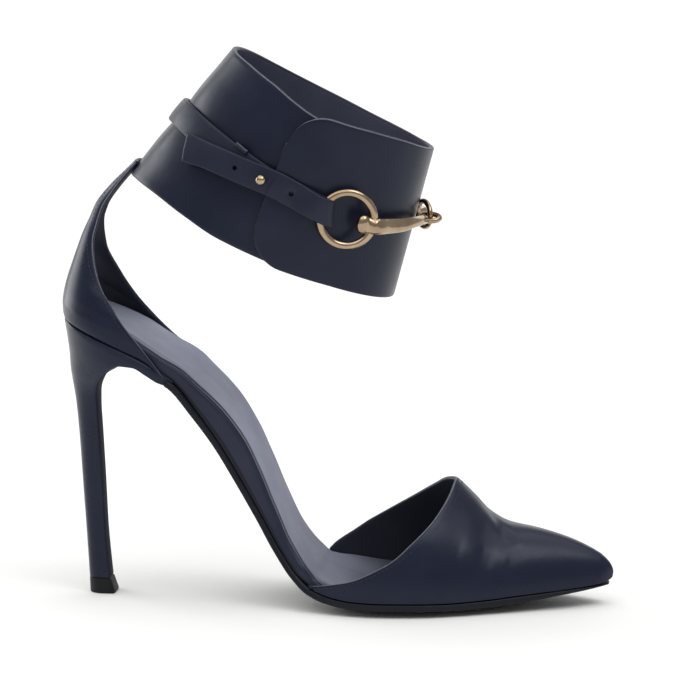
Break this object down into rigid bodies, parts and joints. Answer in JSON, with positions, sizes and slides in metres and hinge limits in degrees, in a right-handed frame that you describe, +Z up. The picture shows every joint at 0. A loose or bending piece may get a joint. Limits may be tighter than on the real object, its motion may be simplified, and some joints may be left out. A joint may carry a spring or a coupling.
{
  "type": "high-heeled pump with ankle cuff",
  "caption": "Pointed high-heel pump with open sides, whose back strap rises to a wide leather ankle cuff cinched by a strap with a metal snaffle bit.",
  "frame": {"origin": "on the floor under the middle of the whole shoe", "axes": "+X to the toe, +Z up, -Y to the outer side of the foot"},
  "size_m": [0.2256, 0.0966, 0.2245],
  "materials": {
    "upper_leather": "smooth calf, satin",
    "cuff_leather": "smooth calf, satin",
    "insole_leather": "satin",
    "sole_leather": "satin",
    "lift_rubber": "matte",
    "bit_metal": "polished pale gold"
  },
  "bodies": {
    "root": {"outsole": "sole_leather", "waist_rand": "upper_leather", "insole": "insole_leather", "vamp": "upper_leather", "counter": "upper_leather", "heel": "upper_leather", "top_lift": "lift_rubber", "ankle_cuff": "cuff_leather", "back_strap": "upper_leather", "closing_strap": "upper_leather", "stud": "bit_metal", "near_ring": "bit_metal", "far_ring": "bit_metal", "near_bit": "bit_metal", "far_bit": "bit_metal"}
  },
  "joints": []
}
